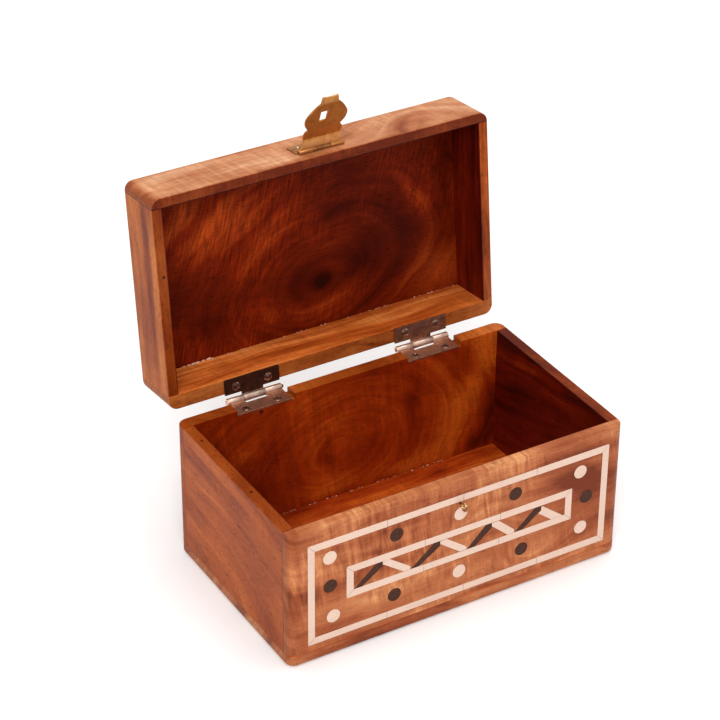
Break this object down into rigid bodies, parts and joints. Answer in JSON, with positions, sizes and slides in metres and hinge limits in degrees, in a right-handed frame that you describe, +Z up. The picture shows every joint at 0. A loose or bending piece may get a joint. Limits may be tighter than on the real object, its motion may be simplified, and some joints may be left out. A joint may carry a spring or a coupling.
{
  "type": "hinged wooden box",
  "caption": "Small oblong wooden box with an inlaid front, a lid on two butt hinges, a brass hasp and a screw eye.",
  "frame": {"origin": "middle of the base's underside, where the box rests", "axes": "+Z up, +X along the box's length, -Y out of the inlaid front"},
  "size_m": [0.2, 0.1778, 0.2366],
  "materials": {
    "wood": "satin oiled hardwood with strong figure",
    "bone": "polished bone",
    "dark_inlay": "polished dark horn or ebony",
    "hinge_steel": "worn plated steel",
    "brass": "dull brass"
  },
  "bodies": {
    "base": {"base_back_wall": "wood", "base_bottom": "wood", "base_front_wall": "wood", "base_left_wall": "wood", "base_right_wall": "wood", "bone_diagonal_1": "bone", "bone_diagonal_2": "bone", "bone_diagonal_3": "bone", "bone_diagonal_4": "bone", "bone_dots": "bone", "dark_diagonal_1": "dark_inlay", "dark_diagonal_2": "dark_inlay", "dark_diagonal_3": "dark_inlay", "dark_diagonal_4": "dark_inlay", "dark_dots": "dark_inlay", "inner_border_bottom_1": "bone", "inner_border_bottom_2": "bone", "inner_border_bottom_3": "bone", "inner_border_left": "bone", "inner_border_right": "bone", "inner_border_top_1": "bone", "inner_border_top_2": "bone", "inner_border_top_3": "bone", "left_hinge_base_leaf": "hinge_steel", "left_hinge_base_screws": "hinge_steel", "left_hinge_pin": "hinge_steel", "outer_border_bottom_1": "bone", "outer_border_bottom_2": "bone", "outer_border_bottom_3": "bone", "outer_border_bottom_4": "bone", "outer_border_left": "bone", "outer_border_right": "bone", "outer_border_top_1": "bone", "outer_border_top_2": "bone", "outer_border_top_3": "bone", "outer_border_top_4": "bone", "right_hinge_base_leaf": "hinge_steel", "right_hinge_base_screws": "hinge_steel", "right_hinge_pin": "hinge_steel", "screw_eye": "brass"},
    "lid": {"hasp_nails": "brass", "hasp_pin": "brass", "hasp_plate": "brass", "left_hinge_lid_leaf": "hinge_steel", "left_hinge_lid_screws": "hinge_steel", "lid_back_wall": "wood", "lid_front_wall": "wood", "lid_left_wall": "wood", "lid_right_wall": "wood", "lid_top_panel": "wood", "right_hinge_lid_leaf": "hinge_steel", "right_hinge_lid_screws": "hinge_steel"},
    "tongue": {"hasp_tongue": "brass"}
  },
  "joints": [
    {"name": "lid_hinge", "type": "hinge", "parent": "base", "child": "lid", "pos_m": [0, 0.0635, 0.08025], "axis": [1, 0, 0], "range_deg": [-84, 96]},
    {"name": "hasp_tongue_hinge", "type": "hinge", "parent": "lid", "child": "tongue", "pos_m": [0, 0.08536, 0.20309], "axis": [1, 0, 0], "range_deg": [-92.5, 62.5]}
  ]
}
